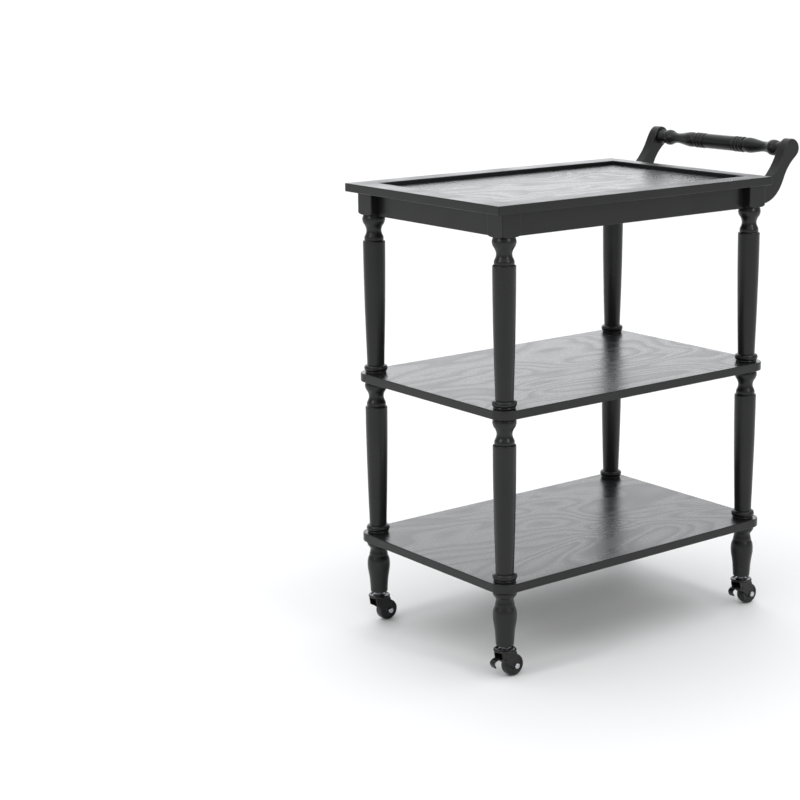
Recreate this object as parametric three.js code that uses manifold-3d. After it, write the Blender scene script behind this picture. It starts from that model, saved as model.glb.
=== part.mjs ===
// A three-tier serving cart on four casters: a framed top with a recessed panel, turned posts between
// two open shelves, a push handle on two curved arms, and two casters with a toe brake.
// Millimetres, +Z up. +X is the handle end, +Y is the rear side. The floor is Z = 0, and the origin is
// the middle of the whole cart's footprint.
import * as THREE from 'three';
import { mergeVertices } from 'three/addons/utils/BufferGeometryUtils.js';
import Module from 'manifold-3d';

// ---- driving dimensions ----
const fit = 0.3; // clearance between touching pieces
const topHeight = 810; // the top frame's upper face above the floor
const boardThickness = 15; // the top frame
const shelfThickness = 15.4;
const midShelfTop = 468.7;
const lowShelfTop = 170.7;

const legHalfX = 289; // leg axes from the middle of the four legs
const legHalfY = 180.75;
const blockSize = 40; // square head of each upper post
const blockBottom = 754.5;

const topLeftEnd = -327.4; // the top overhangs more at the end away from the handle
const topRightEnd = 312.6;
const topHalfY = 213.5;
const recessHalfX = 282;
const recessHalfY = 173.8;
const recessDepth = 7.5;
const lipWidth = 10; // ledge inside the frame that carries the panel
const panelThickness = 4.2;

const apronThickness = 14.5;
const apronSetback = 15.5; // behind the outer faces of the post blocks
const apronBottom = 753;

const shelfHalfX = 316.5;
const shelfHalfY = 208.25;
const shelfCorner = 27.5;

const studRadius = 4;
const studReach = 26; // how far a stud enters the post on each side of a shelf
const boreRadius = studRadius + fit;

const armThickness = 20.5;
const armInnerY = 160.75;
const headX = 399.5; // centre of an arm's rounded head, where the bar enters
const headZ = 851;
const headRadius = 19.5;
const tenonRadius = 6;
const tenonLength = 12;

const footBottom = 57;
const wheelRadius = 19;
const wheelWidth = 18;
const casterTrail = 16; // axle behind the swivel axis
const plateTop = 51; // top of the caster's swivel plate
const plateThickness = 4.5;
const plateRadius = 20;
const cheekInner = 9.8; // half the gap between the fork's cheeks
const cheekThickness = 2;
const axleRadius = 3;
const brakePivotX = -6;
const brakePivotZ = 34;

const postSides = 14; // facets round a turned piece
const rodSides = 10;
const arcSteps = 5;
const wheelSides = 20; // a multiple of four, so that a facet corner is lowest
const black = 0x343436;
const steel = 0xb9bcc0;
const rubberBlack = 0x1d1d1e;

// ---- helpers ----
const wasm = await Module();
wasm.setup();

function toSolid(geometry) {
  const bare = geometry.clone();
  bare.deleteAttribute('normal');
  bare.deleteAttribute('uv');
  const merged = mergeVertices(bare, 1e-4);
  const mesh = new wasm.Mesh({
    numProp: 3,
    vertProperties: new Float32Array(merged.attributes.position.array),
    triVerts: new Uint32Array(merged.index.array),
  });
  return new wasm.Manifold(mesh);
}

function toGeometry(solid) {
  const mesh = solid.getMesh();
  const geometry = new THREE.BufferGeometry();
  geometry.setAttribute('position', new THREE.BufferAttribute(new Float32Array(mesh.vertProperties), 3));
  geometry.setIndex(new THREE.BufferAttribute(new Uint32Array(mesh.triVerts), 1));
  return geometry;
}

function join(...geometries) {
  const [first, ...rest] = geometries.map(toSolid);
  return toGeometry(rest.reduce((sum, solid) => sum.add(solid), first));
}

function cut(geometry, ...tools) {
  return toGeometry(tools.map(toSolid).reduce((left, tool) => left.subtract(tool), toSolid(geometry)));
}

function box(x0, x1, y0, y1, z0, z1) {
  const geometry = new THREE.BoxGeometry(x1 - x0, y1 - y0, z1 - z0);
  return geometry.translate((x0 + x1) / 2, (y0 + y1) / 2, (z0 + z1) / 2);
}

// A turned shape about Z: each point is [radius, z], going up the outside.
function turned(points, sides = postSides) {
  const outline = points.map(([r, z]) => new THREE.Vector2(r, z));
  return new THREE.LatheGeometry(outline, sides).rotateX(Math.PI / 2);
}

function rodZ(radius, z0, z1, sides = rodSides) {
  return new THREE.CylinderGeometry(radius, radius, z1 - z0, sides)
    .rotateX(Math.PI / 2)
    .translate(0, 0, (z0 + z1) / 2);
}

function rodY(radius, y0, y1, sides = rodSides) {
  return new THREE.CylinderGeometry(radius, radius, y1 - y0, sides).translate(0, (y0 + y1) / 2, 0);
}

function rodX(radius, x0, x1, sides = rodSides) {
  return new THREE.CylinderGeometry(radius, radius, x1 - x0, sides)
    .rotateZ(Math.PI / 2)
    .translate((x0 + x1) / 2, 0, 0);
}

// A flat outline in X and Y, raised from z0 to z1.
function slab(shape, z0, z1, curveSegments = arcSteps) {
  const depth = z1 - z0;
  return new THREE.ExtrudeGeometry(shape, { depth, bevelEnabled: false, curveSegments }).translate(0, 0, z0);
}

// An outline drawn in X and Z, given its thickness along Y from y0 to y1.
function plateXZ(shape, y0, y1, curveSegments = arcSteps) {
  const depth = y1 - y0;
  const geometry = new THREE.ExtrudeGeometry(shape, { depth, bevelEnabled: false, curveSegments });
  return geometry.rotateX(Math.PI / 2).translate(0, y1, 0);
}

function polygon(points) {
  return new THREE.Shape(points.map(([x, y]) => new THREE.Vector2(x, y)));
}

const cart = new THREE.Group();
const rightmost = headX + headRadius;
cart.position.x = -(topLeftEnd + rightmost) / 2;

function addMesh(name, geometry, finish, parent = cart) {
  const mesh = new THREE.Mesh(geometry, new THREE.MeshStandardMaterial(finish));
  mesh.name = name;
  parent.add(mesh);
  return mesh;
}

const painted = { color: black, roughness: 0.42, metalness: 0 };
const plated = { color: steel, roughness: 0.3, metalness: 1 };
const blackSteel = { color: rubberBlack, roughness: 0.45, metalness: 0.6 };
const wheelPlastic = { color: rubberBlack, roughness: 0.55, metalness: 0 };

const legs = [
  { name: 'front_left', x: -legHalfX, y: -legHalfY, brake: true },
  { name: 'rear_left', x: -legHalfX, y: legHalfY, brake: false },
  { name: 'front_right', x: legHalfX, y: -legHalfY, brake: true },
  { name: 'rear_right', x: legHalfX, y: legHalfY, brake: false },
];

// ---- top: four mitred rails with a ledge, and the panel that lies on it ----
const topBottom = topHeight - boardThickness;
const panelTop = topHeight - recessDepth;
const ledgeTop = panelTop - panelThickness - fit;

// One rail between two outer corners and the two inner corners behind them, at two levels of inset.
function rail(outer, inner, lip) {
  const [a, b] = outer;
  const upper = slab(polygon([a, b, inner[1], inner[0]]), topBottom, topHeight);
  const ledge = slab(polygon([inner[0], inner[1], lip[1], lip[0]]), topBottom, ledgeTop);
  return join(upper, ledge);
}

// The four corners of a rectangle, counterclockwise from the front left.
function corners(x0, x1, y) {
  return [[x0, -y], [x1, -y], [x1, y], [x0, y]];
}

const outerCorners = corners(topLeftEnd, topRightEnd, topHalfY);
const innerCorners = corners(-recessHalfX, recessHalfX, recessHalfY);
const lipCorners = corners(-recessHalfX + lipWidth, recessHalfX - lipWidth, recessHalfY - lipWidth);
const railNames = ['top_rail_front', 'top_rail_right', 'top_rail_rear', 'top_rail_left'];
const mitreGap = [[fit / 2, 0], [0, fit / 2], [-fit / 2, 0], [0, -fit / 2]];

// Each rail is shortened a little along its own length, so neighbours don't touch at the mitres.
function shortened(list, side) {
  const [dx, dy] = mitreGap[side];
  const [x0, y0] = list[side];
  const [x1, y1] = list[(side + 1) % 4];
  return [[x0 + dx, y0 + dy], [x1 - dx, y1 - dy]];
}

for (let side = 0; side < 4; side += 1) {
  const pairs = [outerCorners, innerCorners, lipCorners].map((list) => shortened(list, side));
  addMesh(railNames[side], rail(...pairs), painted);
}

const panelX = recessHalfX - fit;
const panelY = recessHalfY - fit;
addMesh('top_panel', box(-panelX, panelX, -panelY, panelY, panelTop - panelThickness, panelTop), painted);

// ---- aprons between the post blocks, and the braces inside their corners ----
const apronFaceX = legHalfX + blockSize / 2 - apronSetback;
const apronFaceY = legHalfY + blockSize / 2 - apronSetback;
const apronTop = topBottom - fit;
const betweenX = legHalfX - blockSize / 2 - fit;
const betweenY = legHalfY - blockSize / 2 - fit;

for (const [name, sign] of [['front', -1], ['rear', 1]]) {
  const apron = box(-betweenX, betweenX, 0, apronThickness, apronBottom, apronTop);
  const y = sign > 0 ? apronFaceY - apronThickness : -apronFaceY;
  addMesh(`apron_${name}`, apron, painted).position.y = y;
}
for (const [name, sign] of [['left', -1], ['right', 1]]) {
  const apron = box(0, apronThickness, -betweenY, betweenY, apronBottom, apronTop);
  const x = sign > 0 ? apronFaceX - apronThickness : -apronFaceX;
  addMesh(`apron_${name}`, apron, painted).position.x = x;
}

const braceX = apronFaceX - apronThickness - fit;
const braceY = apronFaceY - apronThickness - fit;
const braceOuterSum = betweenX + betweenY + fit; // x + y along the face beside the block's corner
const braceDepth = 28;
const braceHeight = 30;
const braceOutline = [
  [braceOuterSum - braceY, braceY],
  [braceX, braceOuterSum - braceX],
  [braceX, braceOuterSum - braceX - braceDepth],
  [braceOuterSum - braceY - braceDepth, braceY],
];
for (const leg of legs) {
  const sx = Math.sign(leg.x);
  const sy = Math.sign(leg.y);
  const points = braceOutline.map(([x, y]) => [x * sx, y * sy]);
  const brace = slab(polygon(points), apronTop - braceHeight, apronTop);
  addMesh(`corner_brace_${leg.name}`, brace, painted);
}

// ---- turned posts and feet ----
// A bulge, a waisted neck and a ring, then a column that swells as it rises from a bead on the shelf.
// The head starts at the given height and the turning ends on the shelf below.
function postOutline(head, bottom) {
  const columnBottom = bottom + 13.9;
  const columnTop = head - 48.6;
  const columnRadius = 19.8;
  const taper = 0.225; // share of the radius lost at the shelf
  const lateness = 1.75; // how late on the way down the taper comes
  const swell = [0.68, 0.36].map((share) => [
    columnRadius * (1 - taper * share ** lateness),
    columnTop + (columnBottom - columnTop) * share,
  ]);
  return [
    [0, bottom + studReach + fit],
    [boreRadius, bottom + studReach + fit],
    [boreRadius, bottom],
    [19, bottom],
    [18.5, bottom + 2.8],
    [20.9, bottom + 6.4],
    [20.9, bottom + 9.6],
    [15.5, columnBottom],
    ...swell,
    [columnRadius, columnTop],
    [16.7, head - 45.8],
    [16.9, head - 39.8],
    [13.4, head - 29],
    [15.7, head - 20],
    [20.4, head - 9.5],
    [20, head - 5.2],
  ];
}

function upperPost(leg) {
  const bottom = midShelfTop + fit;
  const overlap = 2; // the turning runs a little way up into the square block
  const outline = [...postOutline(blockBottom, bottom), [17.6, blockBottom + overlap], [0, blockBottom + overlap]];
  const half = blockSize / 2;
  const block = box(-half, half, -half, half, blockBottom, topBottom - fit);
  const post = join(turned(outline), block);
  return leg.x > 0 ? cut(post, ...armStudBores(leg)) : post;
}

function boredTop(bottomOfShelf) {
  const top = bottomOfShelf - fit;
  return [
    [17.6, top],
    [boreRadius, top],
    [boreRadius, top - studReach - fit],
    [0, top - studReach - fit],
  ];
}

function lowerPost() {
  const head = midShelfTop - shelfThickness;
  return turned([...postOutline(head, lowShelfTop + fit), ...boredTop(head)]);
}

function foot() {
  const head = lowShelfTop - shelfThickness;
  const stemBore = 34;
  return turned([
    [0, footBottom + stemBore],
    [boreRadius, footBottom + stemBore],
    [boreRadius, footBottom],
    [14.4, footBottom],
    [15.6, footBottom + 2.2],
    [16.4, footBottom + 16],
    [20.2, footBottom + 45.4],
    [20.4, footBottom + 58],
    [16.8, footBottom + 70],
    [16.1, footBottom + 75.2],
    [15.1, footBottom + 81],
    [20.5, footBottom + 91],
    [20.5, footBottom + 94.5],
    ...boredTop(head),
  ]);
}

// ---- push handle ----
const armRootX = legHalfX + blockSize / 2 + fit;
const armCentreY = armInnerY + armThickness / 2;
const armStudReach = 24;
const armStudRadius = 3;
const armStudHeights = [764, 778];

function armOutline() {
  const shape = new THREE.Shape();
  shape.moveTo(armRootX, 755);
  shape.lineTo(316, 755);
  shape.bezierCurveTo(348, 755, 367, 770, 379, 797);
  shape.bezierCurveTo(385, 811, 391, 820, 402, 830);
  shape.bezierCurveTo(410, 837, rightmost, 842, rightmost, headZ);
  shape.absarc(headX, headZ, headRadius, 0, Math.PI / 2, false);
  shape.bezierCurveTo(388, 869, 382, 856, 375, 842);
  shape.bezierCurveTo(368, 828, 360, 817, 349, 806);
  shape.bezierCurveTo(338, 795, 326, 792, armRootX, 786);
  shape.closePath();
  return shape;
}

// Bores across the joint between an arm and its post block, in the frame of the given post axis.
function armStudBores(leg) {
  const y = Math.sign(leg.y) * armCentreY - leg.y;
  const reach = armStudReach + fit;
  const middle = armRootX - leg.x;
  return armStudHeights.map((z) => rodX(armStudRadius + fit, middle - reach, middle + reach).translate(0, y, z));
}

for (const leg of legs) {
  addMesh(`upper_post_${leg.name}`, upperPost(leg), painted).position.set(leg.x, leg.y, 0);
  addMesh(`lower_post_${leg.name}`, lowerPost(), painted).position.set(leg.x, leg.y, 0);
  addMesh(`foot_${leg.name}`, foot(), painted).position.set(leg.x, leg.y, 0);
  const studs = [['upper_stud', midShelfTop], ['lower_stud', lowShelfTop]];
  for (const [name, shelfTop] of studs) {
    const stud = rodZ(studRadius, shelfTop - shelfThickness - studReach, shelfTop + studReach);
    addMesh(`${name}_${leg.name}`, stud, plated).position.set(leg.x, leg.y, 0);
  }
}

for (const [name, sign] of [['front', -1], ['rear', 1]]) {
  const y0 = sign > 0 ? armInnerY : -armInnerY - armThickness;
  const blank = plateXZ(armOutline(), y0, y0 + armThickness);
  const bores = armStudHeights.map((z) => {
    const bore = rodX(armStudRadius + fit, armRootX - 1, armRootX + armStudReach + fit);
    return bore.translate(0, sign * armCentreY, z);
  });
  const tenonBore = rodY(tenonRadius + fit, -tenonLength - fit, 1, 12);
  tenonBore.rotateX(sign > 0 ? Math.PI : 0).translate(headX, sign * armInnerY, headZ);
  addMesh(`handle_arm_${name}`, cut(blank, ...bores, tenonBore), painted);
  armStudHeights.forEach((z, index) => {
    const stud = rodX(armStudRadius, armRootX - armStudReach, armRootX + armStudReach);
    const height = index === 0 ? 'lower' : 'upper';
    addMesh(`arm_stud_${name}_${height}`, stud.translate(0, sign * armCentreY, z), plated);
  });
}

// Half of the turned bar, from its tenon's end to the middle: [radius, distance from the middle].
const barHalf = [
  [0, armInnerY + tenonLength],
  [tenonRadius, armInnerY + tenonLength],
  [tenonRadius, armInnerY - fit],
  [13, armInnerY - fit],
  [13.9, 157],
  [13.2, 153],
  [11, 148],
  [14.5, 139],
  [14.5, 132],
  [10, 120],
  [9.6, 112],
  [14.2, 78],
  [13.6, 68],
  [11.8, 64],
  [14.4, 61],
  [14.4, 38],
  [13.9, 34],
];
const barOutline = [
  ...barHalf.map(([r, d]) => [r, -d]),
  ...barHalf.map(([r, d]) => [r, d]).reverse(),
];
const bar = turned(barOutline, 12).rotateX(-Math.PI / 2);
addMesh('handle_bar', bar, painted).position.set(headX, 0, headZ);

// ---- shelves ----
function shelfOutline() {
  const x = shelfHalfX;
  const y = shelfHalfY;
  const r = shelfCorner;
  const shape = new THREE.Shape();
  shape.moveTo(-x + r, -y);
  shape.lineTo(x - r, -y);
  shape.absarc(x - r, -y + r, r, -Math.PI / 2, 0, false);
  shape.lineTo(x, y - r);
  shape.absarc(x - r, y - r, r, 0, Math.PI / 2, false);
  shape.lineTo(-x + r, y);
  shape.absarc(-x + r, y - r, r, Math.PI / 2, Math.PI, false);
  shape.lineTo(-x, -y + r);
  shape.absarc(-x + r, -y + r, r, Math.PI, Math.PI * 1.5, false);
  for (const leg of legs) {
    const hole = new THREE.Path();
    hole.absarc(leg.x, leg.y, boreRadius, 0, Math.PI * 2, true);
    shape.holes.push(hole);
  }
  return shape;
}

addMesh('middle_shelf', slab(shelfOutline(), midShelfTop - shelfThickness, midShelfTop), painted);
addMesh('bottom_shelf', slab(shelfOutline(), lowShelfTop - shelfThickness, lowShelfTop), painted);

// ---- casters, each in the frame of its swivel axis, trailing towards +X ----
const plateBottom = plateTop - plateThickness;
const cheekOuter = cheekInner + cheekThickness;
const pinRadius = 2;

function stem() {
  const nut = new THREE.CylinderGeometry(8, 8, 4.2, 6).rotateX(Math.PI / 2);
  nut.translate(0, 0, footBottom - fit - 2.1);
  const washer = rodZ(9.5, plateTop + fit, plateTop + 2);
  const rivetHead = rodZ(7, plateBottom - fit - 2, plateBottom - fit);
  return join(rodZ(studRadius, plateBottom - 2, footBottom + 32), nut, washer, rivetHead);
}

function cheek() {
  const shape = new THREE.Shape();
  const bossRadius = 6.5;
  const rise = Math.PI * 0.12;
  const fall = Math.PI * 1.18;
  shape.moveTo(-15, plateBottom + 1);
  shape.lineTo(-12.5, brakePivotZ - 2);
  shape.lineTo(-7, brakePivotZ - 5.5);
  shape.lineTo(casterTrail + Math.cos(fall) * bossRadius, wheelRadius + Math.sin(fall) * bossRadius);
  shape.absarc(casterTrail, wheelRadius, bossRadius, fall, Math.PI * 2 + rise, false);
  shape.lineTo(15, plateBottom + 1);
  shape.closePath();
  return shape;
}

function fork() {
  const plate = turned([[0, plateBottom], [plateRadius - 2, plateBottom], [plateRadius, plateBottom + 2],
    [plateRadius - 1.5, plateTop], [0, plateTop]], 16);
  const outline = cheek();
  const near = plateXZ(outline, -cheekOuter, -cheekInner);
  const far = plateXZ(outline, cheekInner, cheekOuter);
  const body = join(plate, near, far);
  const stemHole = rodZ(boreRadius, plateBottom - 1, plateTop + 1);
  const axleHole = rodY(axleRadius + fit, -cheekOuter - 1, cheekOuter + 1);
  axleHole.translate(casterTrail, 0, wheelRadius);
  const pinHole = rodY(pinRadius + fit, -cheekOuter - 1, cheekOuter + 1);
  pinHole.translate(brakePivotX, 0, brakePivotZ);
  return cut(body, stemHole, axleHole, pinHole);
}

function wheel() {
  const half = wheelWidth / 2;
  const bore = axleRadius + fit;
  const outline = [
    [bore, -half], [7, -half], [8, -half + 2], [13, -half + 2], [14, -half + 0.4], [17, -half + 0.4],
    [wheelRadius, -half + 2.6], [wheelRadius, half - 2.6], [17, half - 0.4], [14, half - 0.4],
    [13, half - 2], [8, half - 2], [7, half], [bore, half], [bore, -half],
  ];
  return turned(outline, wheelSides).rotateX(-Math.PI / 2);
}

function axle() {
  const faceY = cheekOuter + fit;
  const head = rodY(4.8, -faceY - 3.4, -faceY);
  const nut = rodY(4.6, faceY, faceY + 3.6, 6);
  return join(rodY(axleRadius, -faceY - 1, faceY + 1), head, nut);
}

// A bent strip that hooks down over the toe, with a cam that meets the tread and a pin through the fork.
function brakeLever() {
  const strip = new THREE.Shape();
  strip.moveTo(4, 1.5);
  strip.bezierCurveTo(-2, 5.5, -14, 3.5, -18, 1.5);
  strip.bezierCurveTo(-24, -1.5, -24.5, -5, -18.5, -13);
  strip.lineTo(-16.2, -11.6);
  strip.bezierCurveTo(-21.4, -5, -20.6, -3, -16.6, -1);
  strip.bezierCurveTo(-13, 0.6, -8, 1, -4, -1.8);
  strip.lineTo(0, -4);
  strip.closePath();
  const camStart = Math.PI * -0.42;
  const camLength = 7.2;
  const cam = polygon([
    [-3.6, 0], [-1.6, -5.4],
    [Math.cos(camStart) * camLength, Math.sin(camStart) * camLength],
    [Math.cos(camStart + 0.5) * camLength, Math.sin(camStart + 0.5) * camLength],
    [3.6, 0.6], [1, 3.6],
  ]);
  const lever = join(plateXZ(strip, -5.5, 5.5), plateXZ(cam, -8.5, 8.5), rodY(pinRadius, -13, 13));
  return lever;
}

for (const leg of legs) {
  const caster = new THREE.Group();
  caster.position.set(leg.x, leg.y, 0);
  cart.add(caster);
  addMesh(`caster_stem_${leg.name}`, stem(), plated, caster);
  addMesh(`caster_fork_${leg.name}`, fork(), blackSteel, caster);
  addMesh(`caster_wheel_${leg.name}`, wheel(), wheelPlastic, caster).position.set(casterTrail, 0, wheelRadius);
  addMesh(`caster_axle_${leg.name}`, axle(), plated, caster).position.set(casterTrail, 0, wheelRadius);
  if (leg.brake) {
    const lever = addMesh(`brake_lever_${leg.name}`, brakeLever(), blackSteel, caster);
    lever.position.set(brakePivotX, 0, brakePivotZ);
  }
}

export default cart;
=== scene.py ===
import math

import bmesh
import bpy
from mathutils import Matrix, Vector


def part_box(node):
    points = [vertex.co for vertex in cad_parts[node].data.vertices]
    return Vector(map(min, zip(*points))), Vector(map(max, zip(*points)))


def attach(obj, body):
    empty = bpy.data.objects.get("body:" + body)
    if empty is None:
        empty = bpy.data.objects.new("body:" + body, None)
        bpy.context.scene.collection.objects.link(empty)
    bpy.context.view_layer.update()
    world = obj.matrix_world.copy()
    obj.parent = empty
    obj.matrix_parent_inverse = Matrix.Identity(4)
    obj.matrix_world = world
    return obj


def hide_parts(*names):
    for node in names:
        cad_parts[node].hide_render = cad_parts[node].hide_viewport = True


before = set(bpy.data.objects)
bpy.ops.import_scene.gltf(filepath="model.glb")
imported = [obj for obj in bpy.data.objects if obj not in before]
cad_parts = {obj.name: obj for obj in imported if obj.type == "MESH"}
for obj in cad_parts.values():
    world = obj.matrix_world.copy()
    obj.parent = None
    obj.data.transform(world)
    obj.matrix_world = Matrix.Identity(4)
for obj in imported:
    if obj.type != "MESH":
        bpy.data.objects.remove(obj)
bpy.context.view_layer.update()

mm = 0.001
legs = ("front_left", "rear_left", "front_right", "rear_right")
brakedLegs = ("front_left", "front_right")


def middleOf(node):
    low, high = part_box(node)
    return (low + high) / 2


legSpots = {leg: middleOf("foot_" + leg) for leg in legs}
cartMiddle = (legSpots["front_left"] + legSpots["rear_right"]) / 2  # halfway between the four legs


# camera, lights and floor

cameraLook = {
    "place": (-2.2782, -2.5219, 1.2003),
    "turn": -38.947,
    "down": 10.856,
    "roll": -0.243,
    "lens": 85.13,
    "shift": (-0.10, -0.10),
}
lightLook = {
    "room": "#f2f3f5",
    "front": 0.52,
    "back": 2.35,
    "above": 1.4,  # added overhead, and between which heights of the sky it comes in
    "aboveRange": (0.55, 0.85),
    # middle of the bright part of the room, and how far off it the glow starts and is full
    "glowMiddle": (0.46, 0.88, 0.06),
    "glowRange": (0.7, 0.98),
    # name: place, what it looks at, width, height, watts
    "boxes": {
        "leftBox": ((-3.6, 0.1, 2.5), (-0.1, 0.0, 0.5), 0.55, 0.9, 24),
        "rightBox": ((0.3, -3.6, 2.5), (0.0, 0.0, 0.5), 0.55, 0.9, 26),
    },
}
floorLook = {"size": 120, "light": "#f1f1f0", "dark": "#ebebea", "mottle": 0.35, "roughness": 0.75}


def linearColour(code):
    parts = [int(code[i:i + 2], 16) / 255 for i in (1, 3, 5)]
    return tuple(p / 12.92 if p <= 0.04045 else ((p + 0.055) / 1.055) ** 2.4 for p in parts) + (1.0,)


def pick(sockets, key):
    if isinstance(key, int):
        return sockets[key]
    return next(s for s in sockets if s.name == key and s.enabled)


# inputs holds a number, a colour or another node's socket for each named or numbered input
def addNode(tree, kind, inputs=None, **settings):
    node = tree.nodes.new(kind)
    for key, value in settings.items():
        setattr(node, key, value)
    for key, value in (inputs or {}).items():
        if isinstance(value, bpy.types.NodeSocket):
            tree.links.new(value, pick(node.inputs, key))
        else:
            pick(node.inputs, key).default_value = value
    return node


def newMaterial(name):
    material = bpy.data.materials.new(name)
    material.use_nodes = True
    material.node_tree.nodes.clear()
    return material


def link(thing):
    bpy.context.scene.collection.objects.link(thing)
    return thing


def placeCamera():
    data = bpy.data.cameras.new("camera")
    data.sensor_width = 36
    data.lens = cameraLook["lens"]
    data.shift_x, data.shift_y = cameraLook["shift"]
    data.clip_end = 200
    camera = link(bpy.data.objects.new("camera", data))
    camera.location = cameraLook["place"]
    turn = Matrix.Rotation(math.radians(cameraLook["turn"]), 3, "Z")
    tilt = Matrix.Rotation(math.radians(90 - cameraLook["down"]), 3, "X")
    roll = Matrix.Rotation(math.radians(cameraLook["roll"]), 3, "Z")
    camera.rotation_euler = (turn @ tilt @ roll).to_euler()
    bpy.context.scene.camera = camera
    bpy.context.scene.view_settings.view_transform = "Standard"  # whites stay white


def placeLights():
    world = bpy.data.worlds.new("room")
    world.use_nodes = True
    tree = world.node_tree
    tree.nodes.clear()
    coords = addNode(tree, "ShaderNodeTexCoord")
    middle = Vector(lightLook["glowMiddle"]).normalized()
    towards = addNode(tree, "ShaderNodeVectorMath", {0: coords.outputs["Generated"], 1: middle},
                      operation="DOT_PRODUCT")
    start, full = lightLook["glowRange"]
    glow = addNode(tree, "ShaderNodeMapRange", {
        "Value": towards.outputs["Value"], "From Min": start, "From Max": full,
        "To Min": lightLook["front"], "To Max": lightLook["back"]}, interpolation_type="SMOOTHSTEP")
    parts = addNode(tree, "ShaderNodeSeparateXYZ", {0: coords.outputs["Generated"]})
    low, high = lightLook["aboveRange"]
    overhead = addNode(tree, "ShaderNodeMapRange", {
        "Value": parts.outputs["Z"], "From Min": low, "From Max": high, "To Min": 0.0,
        "To Max": lightLook["above"]}, interpolation_type="SMOOTHSTEP")
    strength = addNode(tree, "ShaderNodeMath", {0: glow.outputs[0], 1: overhead.outputs[0]}, operation="ADD")
    glowing = addNode(tree, "ShaderNodeBackground", {
        "Color": linearColour(lightLook["room"]), "Strength": strength.outputs[0]})
    # seen straight on, the room is a plain white backdrop
    paper = addNode(tree, "ShaderNodeBackground", {"Color": (1.0, 1.0, 1.0, 1.0), "Strength": 1.0})
    seen = addNode(tree, "ShaderNodeLightPath")
    both = addNode(tree, "ShaderNodeMixShader", {
        0: seen.outputs["Is Camera Ray"], 1: glowing.outputs[0], 2: paper.outputs[0]})
    addNode(tree, "ShaderNodeOutputWorld", {"Surface": both.outputs[0]})
    bpy.context.scene.world = world
    for name, (place, target, width, height, watts) in lightLook["boxes"].items():
        data = bpy.data.lights.new(name, "AREA")
        data.shape = "RECTANGLE"
        data.size = width
        data.size_y = height
        data.energy = watts
        lamp = link(bpy.data.objects.new(name, data))
        lamp.location = place
        lamp.rotation_euler = (Vector(target) - Vector(place)).to_track_quat("-Z", "Y").to_euler()
        lamp.visible_camera = False


# studio floor, matt pale paint rolled on smooth concrete: a very faint mottle
def placeFloor():
    material = newMaterial("paleFloorPaint")
    tree = material.node_tree
    coords = addNode(tree, "ShaderNodeTexCoord")
    cloud = addNode(tree, "ShaderNodeTexNoise", {
        "Vector": coords.outputs["Object"], "Scale": floorLook["mottle"]})
    tint = addNode(tree, "ShaderNodeMix", {"Factor": cloud.outputs["Fac"]}, data_type="RGBA")
    pick(tint.inputs, "A").default_value = linearColour(floorLook["light"])
    pick(tint.inputs, "B").default_value = linearColour(floorLook["dark"])
    shader = addNode(tree, "ShaderNodeBsdfPrincipled", {
        "Base Color": pick(tint.outputs, "Result"), "Roughness": floorLook["roughness"]})
    addNode(tree, "ShaderNodeOutputMaterial", {"Surface": shader.outputs[0]})
    half = floorLook["size"] / 2
    corners = [(-half, -half, 0), (half, -half, 0), (half, half, 0), (-half, half, 0)]
    mesh = bpy.data.meshes.new("floor")
    mesh.from_pydata(corners, [], [(0, 1, 2, 3)])
    mesh.materials.append(material)
    link(bpy.data.objects.new("floor", mesh))


placeCamera()
placeLights()
placeFloor()
print("camera, lights and floor")


# finishes

# Satin black lacquer sprayed on sanded rubberwood. The grain still reads as faint long streaks, the
# film has a soft sheen that varies a little, and a fine orange peel breaks up highlights.
# along and across say how often the streaks repeat per metre: seldom along the wood, often across it.
# Real pores are finer than the 2.4 mm between streaks here, which are drawn coarser so that they show.
lacquerLook = {
    "deep": "#121213",
    "worn": "#191919",
    "sheen": (0.27, 0.38),
    "streakDepth": 0.00005,
    "peelDepth": 0.00002,
    "peelSize": 650,
    "cloudSize": 14.0,
    "along": 9,
    "across": 420,
    "bend": 1.4,
}


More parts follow.
